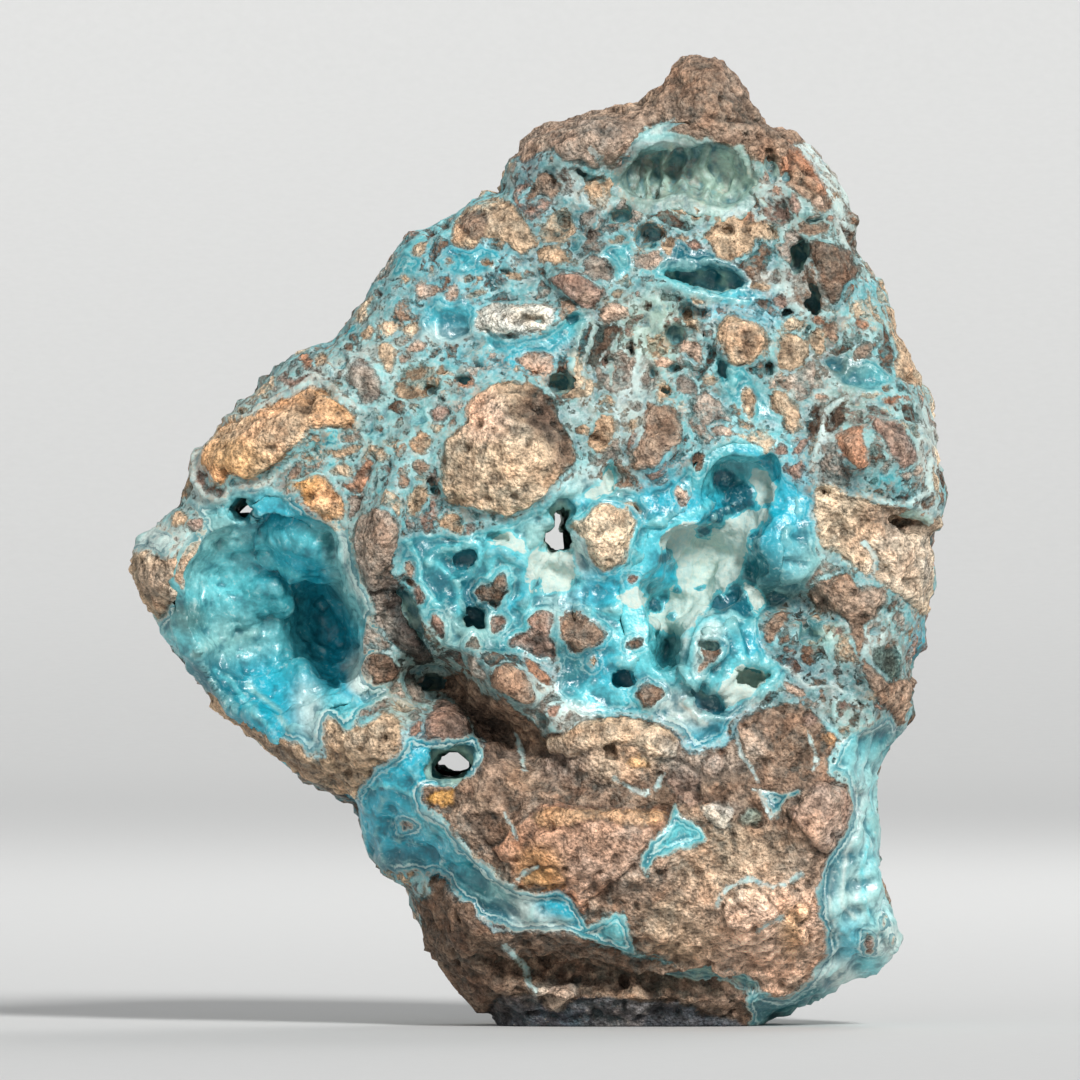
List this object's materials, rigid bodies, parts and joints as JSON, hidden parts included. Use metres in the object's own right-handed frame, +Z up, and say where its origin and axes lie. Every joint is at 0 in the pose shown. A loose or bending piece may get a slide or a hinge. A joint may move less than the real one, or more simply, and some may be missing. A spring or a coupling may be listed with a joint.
{
  "type": "raw smithsonite specimen",
  "caption": "Rough upright chunk of brown rock fragments cemented by turquoise smithsonite, with crystal-lined hollows and small holes through it.",
  "frame": {"origin": "middle of the bounding box in X and Y, at the level of the flat that the chunk stands on", "axes": "+Z up, -Y out of the face with the hollows, +X to the right when that face is looked at"},
  "size_m": [0.1018, 0.0514, 0.1209],
  "materials": {
    "breccia": "sandy brown rock fragments in waxy turquoise cement",
    "pocket_crust": "smooth, waxy, slightly translucent turquoise",
    "vug_crust": "fine pale grey-green crystal dusting with turquoise balls",
    "top_crust": "waxy grey-green to teal crust"
  },
  "bodies": {
    "root": {"breccia_stone": "breccia", "left_pocket_crust": "pocket_crust", "centre_vug_crust": "vug_crust", "top_vug_crust": "top_crust"}
  },
  "joints": []
}
